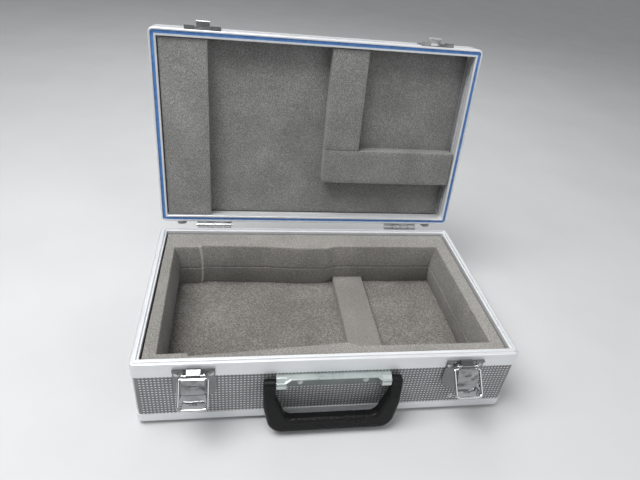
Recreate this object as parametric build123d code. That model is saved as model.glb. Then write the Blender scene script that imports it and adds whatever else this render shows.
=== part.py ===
from build123d import *
import math
import os

# A small aluminium-framed attache case, standing on its feet with the lid open.
# +Z up, +X to the right of someone facing the latches, +Y towards the hinges.
# It is drawn about the middle of the base, and moved at the end so that the origin lies
# under the middle of the whole open case, on the surface that the case stands on.
# Lid pieces are drawn closed and then turned open about the hinge line.
# For pieces on a wall, "out" is the distance outwards from the face of the frame.
# For pieces near the rim, "up" is the height above the plane where lid and base part.

os.makedirs("parts", exist_ok=True)

# ---- driving dimensions, millimetres and degrees ----
CASE_W = 380.0
CASE_D = 228.0
BASE_H = 82.3
LID_H = 33.0
FOOT_H = 3.0
OPEN_ANGLE = 96.3

SKIN = 1.0
BOARD = 3.0
CORNER_R = 5.5
RIM_FACE = 16.2
EDGE_FACE = 12.7
LID_RIM_FACE = 12.0
EDGE_R = 4.5
TONGUE_H = 1.6
PARTING_GAP = 0.2

HINGE_OUT = 5.0
HINGE_UP = 0.6
HINGE_X = 124.0
HINGE_W = 44.0
HINGE_R = 3.4
HINGE_PIN_R = 1.5
RUNNING = 0.05

LATCH_X = 132.7
PLATE_W = 39.0
PLATE_T = 1.0
PLATE_TOP = -5.5
PLATE_LOW = -46.0
LIP_OUT = 3.3
LIP_START = 10.7
LIP_UP = -6.5
LEVER_OUT = 6.2
LEVER_UP = -9.0
LEVER_W = 20.6
LEVER_LEN = 31.5
LEVER_FACE = 9.6
LEVER_REST = 23.0
BAIL_DROP = 3.1
BAIL_LEN = 27.2
BAIL_HALF = 13.2
BAIL_R = 1.35
BAIL_REST = 23.0
LATCH_PIN_R = 1.2
KNUCKLE_R = 2.0
KEEPER_TOP = 25.0
KEEPER_LIP_OUT = 4.4
HOOK_HALF = 7.3
HOOK_OUT = 5.9
HOOK_UP = LEVER_UP - BAIL_DROP + BAIL_LEN

HANDLE_OUT = 5.0
HANDLE_UP = -25.8
HANDLE_HALF = 68.5
HANDLE_THICK = 13.0
HANDLE_TILT = 11.5
BRACKET_HALF = 56.5
BRACKET_TOP = -17.9
BRACKET_LOW = -34.6
BRACKET_BACK = -0.6
BRACKET_FACE = 1.2
LEDGE_OUT = 6.4
BEAD_R = 1.05
LUG_W = 9.5
LUG_R = 5.2
HANDLE_PIN_R = 2.0

FOAM_TOP = -4.0
FOAM_SEAM = -31.0
FOAM_FLOOR = -60.0
FOAM_INSET = 9.2
FOAM_BULGE = 5.0
LID_FOAM_FACE = 3.0
LID_SHEET = 21.0

WALL_FOOT_H = 9.5
WALL_FOOT_X = 166.0
FOOT_IN = 17.0
WALL_RIVET = 1.6
HINGE_RIVET_STEP = 15.5

MIDDLE_Y = 15.5  # the open lid reaches further back than the latches and handle reach forward

# ---- worked out from them ----
RIM_Z = FOOT_H + BASE_H
FRONT = -CASE_D / 2
BACK = CASE_D / 2
HINGE_Y = BACK + HINGE_OUT
HINGE_Z = RIM_Z + HINGE_UP
IN = SKIN + BOARD
LEG = IN + 1.2
SLOT = 13.0
CROWN = LID_H


# ---- helpers ----
def box(x0, x1, y0, y1, z0, z1):
    """A box between two corners, given in any order."""
    size = (abs(x1 - x0), abs(y1 - y0), abs(z1 - z0))
    return Pos((x0 + x1) / 2, (y0 + y1) / 2, (z0 + z1) / 2) * Box(*size)


def rod(p, direction, radius, length):
    """A round bar starting at p and running along direction."""
    return extrude(Plane(origin=p, z_dir=direction) * Circle(radius), length)


def side_profile(points, x0, x1, radii=0):
    """A closed outline of (out, up) points on the front wall, drawn out along X."""
    path = Polyline(*points, close=True)
    if radii:
        path = FilletPolyline(*points, radius=radii, close=True)
    plane = Plane(origin=(x0, FRONT, RIM_Z), x_dir=(0, -1, 0), z_dir=(-1, 0, 0))
    return extrude(plane * make_face(path), -(x1 - x0))


def joined(*shapes):
    """One solid from shapes that overlap or share a face."""
    whole = shapes[0].fuse(*shapes[1:])
    return whole.clean() if hasattr(whole, "clean") else whole


def opened(shape):
    """A piece drawn on the closed lid, turned to where the open lid holds it."""
    swing = Pos(0, HINGE_Y, HINGE_Z) * Rot(-OPEN_ANGLE, 0, 0) * Pos(0, -HINGE_Y, -HINGE_Z)
    return swing * shape


def loop_radius(inset):
    """Corner radius of a loop that lies inset from the outer face."""
    return max(CORNER_R - inset, 0.6)


def loop_block(inset, up0, up1):
    """A block with rounded corners whose sides are inset from the outer faces."""
    flat = RectangleRounded(CASE_W - 2 * inset, CASE_D - 2 * inset, loop_radius(inset))
    return Pos(0, 0, RIM_Z + up0) * extrude(flat, up1 - up0)


def loop(inset0, inset1, up0, up1):
    """A ring between two insets, from one height to another."""
    return loop_block(inset0, up0, up1) - loop_block(inset1, up0 - 1, up1 + 1)


def top_loop_edges(shape, up, inset):
    """The outline edges of a loop at one height and one inset."""
    half_w = CASE_W / 2 - inset
    half_d = CASE_D / 2 - inset
    found = []
    for edge in shape.edges():
        ends = edge.bounding_box()
        flat = abs(ends.min.Z - RIM_Z - up) < 0.01 and abs(ends.max.Z - RIM_Z - up) < 0.01
        mid = edge @ 0.5
        reach = max(abs(mid.X) - half_w, abs(mid.Y) - half_d)
        near = loop_radius(inset) * 0.3 + 0.02
        if flat and -near < reach < 0.02:
            found.append(edge)
    return found


def mitred(ring, up0, up1):
    """A ring cut at its corners into two long rails and two short rails."""
    w = CASE_W / 2
    d = CASE_D / 2
    k = 20.0
    front = [(-w, -d), (w, -d), (w - k, -d + k), (-w + k, -d + k)]
    right = [(w, -d), (w, d), (w - k, d - k), (w - k, -d + k)]
    long_rails = []
    short_rails = []
    for turn in (1, -1):
        for plan, rails in ((front, long_rails), (right, short_rails)):
            points = [(x * turn, y * turn) for x, y in plan]
            wedge = extrude(make_face(Polyline(*points, close=True)), up1 - up0 + 2)
            rails += (ring & (Pos(0, 0, RIM_Z + up0 - 1) * wedge)).solids()
    return long_rails, short_rails


def cut_all(shapes, tools):
    """Each shape with the same holes cut in it."""
    out = []
    for shape in shapes:
        for tool in tools:
            shape = shape - tool
        out += shape.solids()
    return out


# ---- extruded frames ----
def base_rim_ring():
    """The frame round the top of the base: skirt, ledge and the tongue that enters the lid."""
    skirt = loop(0, SKIN, -RIM_FACE, 0)
    bridge = loop(0, 5.8, -2.4, 0)
    tongue = loop(2.8, 5.8, -1.0, TONGUE_H)
    ledge = loop(5.0, 8.0, -1.8, -0.6)
    inner_lip = loop(7.0, 8.0, -6.0, -0.6)
    inner_leg = loop(IN, LEG, -14.0, -1.0)
    ring = joined(skirt, bridge, tongue, ledge, inner_lip, inner_leg)
    ring = fillet(top_loop_edges(ring, 0, 0), 2.0)
    return fillet(top_loop_edges(ring, TONGUE_H, 2.8), 0.6)


def lower_ring():
    """The frame round the bottom edge of the base: a rounded angle with a slot for each board."""
    low = -BASE_H
    skirt = loop(0, SKIN, low, low + EDGE_FACE)
    sole = loop(0, SLOT, low, low + 1.2)
    core = loop(0, 5.4, low, low + 4.6)
    shelf = loop(LEG - 0.4, SLOT, low + 4.2, low + 5.4)
    leg = loop(IN, LEG, low + 4.0, low + EDGE_FACE)
    ring = joined(skirt, sole, core, shelf, leg)
    return fillet(top_loop_edges(ring, low, 0), EDGE_R)


def lid_rim_ring():
    """The frame round the mouth of the lid: two lips with the seal's groove between them."""
    g = PARTING_GAP
    outer_lip = loop(0, 2.2, g, 5.0)
    roof = loop(0, 8.2, 3.6, 5.0)
    inner_lip = loop(6.0, 8.2, g, 5.0)
    skirt = loop(0, SKIN, 3.6, LID_RIM_FACE)
    leg = loop(IN, LEG, 3.6, 10.5)
    hem = loop(7.2, 8.2, 3.6, 9.0)
    ring = joined(outer_lip, roof, inner_lip, skirt, leg, hem)
    ring = fillet(top_loop_edges(ring, g, 0), 1.1)
    return fillet(top_loop_edges(ring, g, 8.2), 0.8)


def crown_ring():
    """The frame round the outer edge of the lid, the lower frame turned over."""
    ring = lower_ring()
    ring = Pos(0, 0, -RIM_Z + BASE_H) * ring
    ring = Rot(180, 0, 0) * ring
    return Pos(0, 0, RIM_Z + CROWN) * ring


# ---- boards ----
def wall_boards(up0, up1):
    """The faced boards of one shell, rounded at the case's corners: front, back, right, left."""
    long_boards, short_boards = mitred(loop(SKIN, IN, up0, up1), up0, up1)
    return long_boards + short_boards


def flat_board(up0):
    """The bottom board, or the lid's top board, inside the edge frame's slot."""
    return loop_block(5.4, up0, up0 + BOARD)


# ---- fasteners ----
def rivet(p, direction, head_r, head_h, shank_r, shank_len, tail_h=0.0):
    """A domed rivet whose head sits on the plane through p, with or without a flat tail inside."""
    axis = Vector(*direction).normalized()
    start = Vector(*p)
    sphere_r = (head_r**2 + head_h**2) / (2 * head_h)
    ball = Pos(*(start + axis * (head_h - sphere_r))) * Sphere(sphere_r)
    keep = rod(start, axis, head_r + 1, head_h + 1)
    shank = rod(start - axis * shank_len, axis, shank_r, shank_len)
    whole = joined(ball & keep, shank)
    if tail_h:
        whole = joined(whole, rod(start - axis * (shank_len + tail_h), axis, shank_r + 0.7, tail_h))
    return whole


def rivet_hole(p, direction, shank_r, shank_len):
    """The hole that a rivet's shank fills."""
    axis = Vector(*direction).normalized()
    return rod(Vector(*p) - axis * shank_len, axis, shank_r, shank_len + 2)


# ---- hinges ----
def hinge_leaf(sx, on_lid):
    """One leaf and its two knuckles; the base leaf holds the first and third of four knuckles."""
    x0 = sx * HINGE_X - HINGE_W / 2
    pitch = HINGE_W / 4
    y = BACK
    z = RIM_Z
    if on_lid:
        plate = box(x0, x0 + HINGE_W, y, y + 1.6, z + 2.1, z + 15.0)
        web_z = (HINGE_Z + 1.5, HINGE_Z + HINGE_R)
        bore_r = HINGE_PIN_R + RUNNING
        slots = (1, 3)
    else:
        plate = box(x0, x0 + HINGE_W, y, y + 1.6, z - 15.0, z - 1.0)
        web_z = (HINGE_Z - HINGE_R, HINGE_Z - 1.5)
        bore_r = HINGE_PIN_R
        slots = (0, 2)
    leaf = plate
    for slot in slots:
        a = x0 + slot * pitch + 0.5
        b = a + pitch - 1.0
        barrel = rod((a, HINGE_Y, HINGE_Z), (1, 0, 0), HINGE_R, b - a)
        web = box(a, b, y, HINGE_Y, *web_z)
        leaf = joined(leaf, barrel, web)
    return leaf - rod((x0 - 1, HINGE_Y, HINGE_Z), (1, 0, 0), bore_r, HINGE_W + 2)


def hinge_pin(sx):
    """A plain steel pin, its ends just proud of the outer knuckles."""
    x0 = sx * HINGE_X - HINGE_W / 2 - 0.6
    return rod((x0, HINGE_Y, HINGE_Z), (1, 0, 0), HINGE_PIN_R, HINGE_W + 1.2)


def hinge_rivet_places(on_lid):
    """Where the leaf rivets sit on the leaf's outer face."""
    up = 9.0 if on_lid else -9.0
    places = []
    for sx in (-1, 1):
        for step in (-1, 1):
            places.append((sx * HINGE_X + step * HINGE_RIVET_STEP, BACK + 1.6, RIM_Z + up))
    return places


# ---- latches ----
def latch_plate(sx):
    """The pressed plate on the wall: a rounded foot, two lips at the top and a middle knuckle."""
    x = sx * LATCH_X
    half = PLATE_W / 2
    flat = [(-half, PLATE_TOP - 1), (half, PLATE_TOP - 1), (half, PLATE_LOW), (-half, PLATE_LOW)]
    path = FilletPolyline(*flat, radius=[1.0, 1.0, 14.0, 14.0], close=True)
    wall = Plane(origin=(x, FRONT - PLATE_T, RIM_Z), x_dir=(1, 0, 0), z_dir=(0, -1, 0))
    plate = extrude(wall * make_face(path), -PLATE_T)
    for side in (-1, 1):
        a = x + side * LIP_START
        b = x + side * half
        lip = box(a, b, FRONT, FRONT - LIP_OUT, RIM_Z + LIP_UP - 1, RIM_Z + LIP_UP)
        plate = joined(plate, lip)
    top = LEVER_UP + KNUCKLE_R
    tongue = [(0, PLATE_TOP), (1.6, PLATE_TOP), (LEVER_OUT, top)]
    tongue += [(LEVER_OUT, top - 0.8), (1.4, top - 0.6), (0, top - 3)]
    knuckle = rod((x - 6.3, FRONT - LEVER_OUT, RIM_Z + LEVER_UP), (1, 0, 0), KNUCKLE_R, 12.6)
    plate = joined(plate, knuckle, side_profile(tongue, x - 6.3, x + 6.3, radii=[0, 1.2, 0, 0, 0.8, 0]))
    return plate - rod((x - 7, FRONT - LEVER_OUT, RIM_Z + LEVER_UP), (1, 0, 0), LATCH_PIN_R, 14)


def latch_pin(sx):
    """The pin that the lever turns on."""
    x = sx * LATCH_X
    half = LEVER_W / 2 + 0.5
    return rod((x - half, FRONT - LEVER_OUT, RIM_Z + LEVER_UP), (1, 0, 0), LATCH_PIN_R, 2 * half)


def swung(shape, out, up, angle):
    """A piece turned outwards by angle about the X line at out, up on the front wall."""
    y = FRONT - out
    z = RIM_Z + up
    return Pos(0, y, z) * Rot(-angle, 0, 0) * Pos(0, -y, -z) * shape


def bail_clearance(x, side):
    """The space kept under one side bar of the bail where it rests on the lever's wing."""
    near = FRONT - LEVER_OUT + BAIL_R + 0.3
    low = RIM_Z + LEVER_UP - BAIL_DROP - BAIL_LEN
    inner = x + side * (BAIL_HALF - 1.9)
    slab = box(inner, x + side * (BAIL_HALF + 4), near, near - 12, low, low + BAIL_LEN)
    return swung(slab, LEVER_OUT, LEVER_UP - BAIL_DROP, BAIL_REST)


def latch_lever(sx):
    """A channel-shaped lever drawn against the plate, then lifted to where it hangs open."""
    x = sx * LATCH_X
    half = LEVER_W / 2
    low = LEVER_UP - LEVER_LEN
    f = LEVER_FACE
    skin = [(f - 1.0, -10.4), (f, -11.5), (f, low + 1.6), (f - 1.4, low), (f - 2.1, low + 0.8),
            (f - 1, low + 2.0), (f - 1, -11.9), (f - 1.7, -11.1)]
    lever = side_profile(skin, x - half, x + half)
    flange = [(LEVER_OUT - 2.3, -15.0), (LEVER_OUT - 2.7, LEVER_UP), (LEVER_OUT + 2.7, LEVER_UP),
              (f - 1.2, -10.7), (f - 0.4, -11.6), (f - 0.4, low + 1.8), (f - 1.6, low + 0.6),
              (LEVER_OUT, low + 3), (LEVER_OUT - 2.3, low + 12)]
    for side in (-1, 1):
        a = x + side * half
        b = x + side * (half - 1.0)
        cheek = side_profile(flange, min(a, b), max(a, b))
        ear = rod((min(a, b), FRONT - LEVER_OUT, RIM_Z + LEVER_UP), (1, 0, 0), 2.7, 1.0)
        lever = joined(lever, cheek, ear)
    lever = lever - box(x - 9, x + 9, FRONT - f + 0.5, FRONT - f - 1, RIM_Z - 26.5, RIM_Z - 25.6)
    for up in (-17.5, -35.5):
        slot = box(x - 3.6, x + 3.6, FRONT - f + 2, FRONT - f - 1, RIM_Z + up - 0.55, RIM_Z + up + 0.55)
        lever = lever - slot
    for side in (-1, 1):
        wing = Box(5.2, 1.1, 7.5)
        wing = fillet(wing.edges().filter_by(Axis.Y).sort_by(Axis.X)[2:], 2.2)
        wing = Rot(0, 0, -42) * (Pos(2.2, 0, 0) * wing)
        if side < 0:
            wing = mirror(wing, about=Plane.YZ)
        wing = Pos(x + side * (half - 0.7), FRONT - f + 0.7, RIM_Z - 29.5) * wing
        lever = joined(lever, wing - bail_clearance(x, side))
    for out, up in ((LEVER_OUT, LEVER_UP), (LEVER_OUT, LEVER_UP - BAIL_DROP)):
        bore_r = (LATCH_PIN_R if up == LEVER_UP else BAIL_R) + RUNNING
        lever = lever - rod((x - half - 1, FRONT - out, RIM_Z + up), (1, 0, 0), bore_r, LEVER_W + 2)
    return swung(lever, LEVER_OUT, LEVER_UP, LEVER_REST)


def latch_bail(sx):
    """A bent wire loop whose ends turn in through the lever's cheeks."""
    x = sx * LATCH_X
    y = FRONT - LEVER_OUT
    z = RIM_Z + LEVER_UP - BAIL_DROP
    end = LEVER_W / 2 - 1.6
    points = [
        (x + end, y, z),
        (x + BAIL_HALF, y, z),
        (x + BAIL_HALF, y, z - BAIL_LEN),
        (x - BAIL_HALF, y, z - BAIL_LEN),
        (x - BAIL_HALF, y, z),
        (x - end, y, z),
    ]
    path = FilletPolyline(*points, radius=[1.8, 4.0, 4.0, 1.8])
    wire = sweep(Plane(origin=points[0], z_dir=(1, 0, 0)) * Circle(BAIL_R), path=path)
    wire = swung(wire, LEVER_OUT, LEVER_UP - BAIL_DROP, BAIL_REST)
    return swung(wire, LEVER_OUT, LEVER_UP, LEVER_REST)


def keeper(sx):
    """The pressed keeper on the lid: a plate, two lips at its lower edge and a hook for the bail."""
    x = sx * LATCH_X
    half = PLATE_W / 2
    flat = [(-half, 0.8), (half, 0.8), (half, KEEPER_TOP), (-half, KEEPER_TOP)]
    path = FilletPolyline(*flat, radius=[1.0, 1.0, 7.0, 7.0], close=True)
    wall = Plane(origin=(x, FRONT - PLATE_T, RIM_Z), x_dir=(1, 0, 0), z_dir=(0, -1, 0))
    piece = extrude(wall * make_face(path), -PLATE_T)
    for side in (-1, 1):
        a = x + side * 8.4
        b = x + side * half
        lip = box(a, b, FRONT, FRONT - KEEPER_LIP_OUT, RIM_Z + 0.8, RIM_Z + 1.8)
        piece = joined(piece, lip)
    seat = HOOK_UP - BAIL_R - 0.3
    tip = HOOK_OUT + BAIL_R + 0.25
    top = HOOK_UP + 0.8
    hook = [(0, seat - 1.2), (tip + 1.1, seat - 1.2), (tip + 1.1, top), (tip, top), (tip, seat), (0, seat)]
    return joined(piece, side_profile(hook, x - HOOK_HALF, x + HOOK_HALF, radii=[0, 1.4, 0.3, 0.3, 0.3, 0]))


def latch_rivet_places():
    """Rivets of the two latch plates: one each side of the lever near the foot, one under it."""
    places = []
    for sx in (-1, 1):
        for dx, up in ((-15.5, -13.0), (15.5, -13.0), (0.0, -38.0)):
            places.append((sx * LATCH_X + dx, FRONT - PLATE_T, RIM_Z + up))
    return places


def keeper_rivet_places():
    """Rivets of the two keepers."""
    places = []
    for sx in (-1, 1):
        for dx, up in ((-14.5, 9.0), (14.5, 9.0), (0.0, 18.2)):
            places.append((sx * LATCH_X + dx, FRONT - PLATE_T, RIM_Z + up))
    return places


# ---- handle ----
def bracket_section(x, out, top, low):
    """The ledge's cross-section at one place along the bracket."""
    corners = [(0, top), (out, top), (out, low), (0, low)]
    points = [(x, FRONT - o, RIM_Z + u) for o, u in corners]
    return make_face(Polyline(*points, close=True))


def bracket_bead():
    """The round bead along the ledge's front edge, which drops to each lug's front at its ends."""
    low = HANDLE_UP + 4.0
    half = [(42.5, LEDGE_OUT, BRACKET_TOP - 1.0), (48.5, 9.0, low), (BRACKET_HALF, 9.0, low)]
    places = [(-x, out, up) for x, out, up in reversed(half)] + half
    points = [Vector(x, FRONT - out, RIM_Z + up) for x, out, up in places]
    bead = rod(points[0], points[1] - points[0], BEAD_R, (points[1] - points[0]).length)
    for start, end in zip(points[1:], points[2:]):
        run = end - start
        bead = joined(bead, Pos(*start) * Sphere(BEAD_R), rod(start, run, BEAD_R, run.length))
    return bead


def handle_bracket():
    """A cast bracket: a plate, a beaded ledge along its top and a lug for a pin at each end."""
    ledge_low = BRACKET_TOP - 1.8
    top = [(BRACKET_BACK, BRACKET_TOP), (LEDGE_OUT, BRACKET_TOP), (LEDGE_OUT, ledge_low),
           (BRACKET_FACE, ledge_low), (BRACKET_FACE, BRACKET_LOW), (BRACKET_BACK, BRACKET_LOW)]
    bracket = side_profile(top, -47, 47)
    z = RIM_Z + HANDLE_UP
    lug = [(BRACKET_BACK, BRACKET_TOP), (4.6, BRACKET_TOP), (9.0, HANDLE_UP + 4.0), (10.0, HANDLE_UP + 2.0),
           (10.2, HANDLE_UP - 2.0), (8.0, HANDLE_UP - LUG_R), (BRACKET_BACK, HANDLE_UP - LUG_R)]
    for side in (-1, 1):
        a = side * BRACKET_HALF
        b = side * (BRACKET_HALF - LUG_W)
        block = side_profile(lug, min(a, b), max(a, b), radii=[0, 2.0, 0.6, 0.6, 1.6, 1.6, 0])
        near = bracket_section(side * 42.5, LEDGE_OUT, BRACKET_TOP, ledge_low)
        far = bracket_section(side * 48.5, 8.6, BRACKET_TOP - 2.2, HANDLE_UP + 3.2)
        bracket = joined(bracket, block, loft([near, far], ruled=True))
        pin_start = side * (BRACKET_HALF - 6)
        bracket = bracket - rod((pin_start, FRONT - HANDLE_OUT, z), (side, 0, 0), HANDLE_PIN_R, 10)
    return joined(bracket, bracket_bead())


def handle_pin(side):
    """A short pin fixed in the bracket's lug, on which the handle turns."""
    start = side * (BRACKET_HALF - 6)
    return rod((start, FRONT - HANDLE_OUT, RIM_Z + HANDLE_UP), (side, 0, 0), HANDLE_PIN_R, 14)


def handle_grip():
    """The moulded U-shaped handle, drawn hanging straight and then tilted out."""
    w = HANDLE_HALF
    arm = BRACKET_HALF + 0.4
    outer = [(-w, 6.5), (-w, -24), (-w + 7, -55.5), (w - 7, -55.5), (w, -24), (w, 6.5),
             (arm, 6.5), (arm, -13), (45.5, -39.5), (-45.5, -39.5), (-arm, -13), (-arm, 6.5)]
    radii = [5.5, 24, 16, 16, 24, 5.5, 1.5, 14, 9, 9, 14, 1.5]
    middle = (0, FRONT - HANDLE_OUT - HANDLE_THICK / 2, RIM_Z + HANDLE_UP)
    plane = Plane(origin=middle, x_dir=(1, 0, 0), z_dir=(0, -1, 0))
    flat = plane * make_face(FilletPolyline(*outer, radius=radii, close=True))
    grip = extrude(flat, -HANDLE_THICK)
    rims = [e for e in grip.edges() if abs(abs((e @ 0.5).Y - FRONT + HANDLE_OUT) - HANDLE_THICK / 2) < 0.01]
    grip = fillet(rims, 4.0)
    h = HANDLE_THICK / 2
    tops = [(-4.7, 4.7), (4.7, 4.7), (4.7, -4), (h, -18), (h, -60), (-h, -60), (-h, -18), (-4.7, -4)]
    slim = [(HANDLE_OUT + out, HANDLE_UP + up) for out, up in tops]
    grip = grip & side_profile(slim, -w - 1, w + 1, radii=[4.6, 4.6, 10, 10, 0, 0, 10, 10])
    for side in (-1, 1):
        grip = grip - rod((side * (BRACKET_HALF - 1), FRONT - HANDLE_OUT, RIM_Z + HANDLE_UP), (side, 0, 0),
                          HANDLE_PIN_R + RUNNING, 9.3)
    return swung(grip, HANDLE_OUT, HANDLE_UP, HANDLE_TILT)


# ---- feet ----
def base_foot(x, y):
    """A round rubber foot under the bottom board, recessed for its screw."""
    disc = Pos(x, y, FOOT_H / 2) * Cylinder(6.0, FOOT_H)
    disc = fillet(disc.edges().filter_by(GeomType.CIRCLE).sort_by(Axis.Z)[0:1], 0.8)
    neck = rod((x, y, FOOT_H), (0, 0, 1), 3.8, 1.2)
    foot = joined(disc, neck) - rod((x, y, -1), (0, 0, 1), 2.6, 2.6)
    return foot - rod((x, y, 0), (0, 0, 1), 1.4, 6)


def foot_screw(x, y):
    """The screw that holds a foot to the bottom board."""
    head = rod((x, y, 0.5), (0, 0, 1), 2.3, 1.1)
    head = head - box(x - 1.6, x + 1.6, y - 0.3, y + 0.3, 0, 0.9)
    return joined(head, rod((x, y, 1.6), (0, 0, 1), 1.4, 4.6))


def wall_foot(x, z):
    """A taller round foot on the back wall, longer than the hinges stand out."""
    foot = rod((x, BACK, z), (0, 1, 0), 6.0, WALL_FOOT_H)
    foot = fillet(foot.edges().filter_by(GeomType.CIRCLE).sort_by(Axis.Y)[-1:], 1.4)
    foot = joined(foot, rod((x, BACK - SKIN, z), (0, 1, 0), 3.8, SKIN))
    foot = foot - rod((x, BACK + WALL_FOOT_H - 2.4, z), (0, 1, 0), 2.7, 5)
    return foot - rod((x, BACK - SKIN - 1, z), (0, 1, 0), 1.4, 20)


def wall_screw(x, z):
    """The screw in a back foot."""
    head = rod((x, BACK + WALL_FOOT_H - 2.4, z), (0, 1, 0), 2.4, 1.2)
    head = head - box(x - 1.7, x + 1.7, BACK + WALL_FOOT_H - 1.7, BACK + 20, z - 0.3, z + 0.3)
    return joined(head, rod((x, BACK - SKIN - 2, z), (0, 1, 0), 1.4, WALL_FOOT_H + 0.6))


# ---- foam ----
def cavity_outline():
    """The hand-cut outline of the recess in the base foam, going round from the back left."""
    back = [(-169.8, 74.9), (-140.6, 75.6), (-138.2, 78.7), (-60.4, 76.9), (-20.1, 73.5), (17.1, 73.5)]
    right = [(30.2, 77.9), (164.1, 77.5), (166.1, -93.3)]
    front = [(48.3, -93.3), (28.2, -92.9), (15.1, -88.2), (-138.5, -100.3), (-139.8, -96.3), (-168.2, -96.9)]
    return back + right + front


def drawn_in(points, distance):
    """A clockwise outline with every side moved inwards by distance, its corners kept sharp."""
    inner = []
    for i, corner in enumerate(points):
        before = Vector(*points[i - 1])
        here = Vector(*corner)
        after = Vector(*points[(i + 1) % len(points)])
        first = (here - before).normalized()
        second = (after - here).normalized()
        middle = Vector(first.Y + second.Y, -first.X - second.X).normalized()
        reach = distance / (middle.X * first.Y - middle.Y * first.X)
        moved = here + middle * reach
        inner.append((moved.X, moved.Y))
    return inner


def foam_ring(up0, up1, narrow_at_top):
    """One layer of the foam surround; its cut wall leans in towards the seam between the layers."""
    w = CASE_W / 2 - FOAM_INSET
    d = CASE_D / 2 - FOAM_INSET
    block = box(-w, w, -d, d, RIM_Z + up0, RIM_Z + up1)
    wide = make_face(Polyline(*cavity_outline(), close=True))
    narrow = make_face(Polyline(*drawn_in(cavity_outline(), FOAM_BULGE), close=True))
    low, high = (wide, narrow) if narrow_at_top else (narrow, wide)
    hole = loft([Pos(0, 0, RIM_Z + up0) * low, Pos(0, 0, RIM_Z + up1) * high], ruled=True)
    return block - hole


def lid_block(x0, x1, y0, y1, up0, up1):
    """A block of foam in the closed lid."""
    return box(x0, x1, y0, y1, RIM_Z + up0, RIM_Z + up1)


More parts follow.
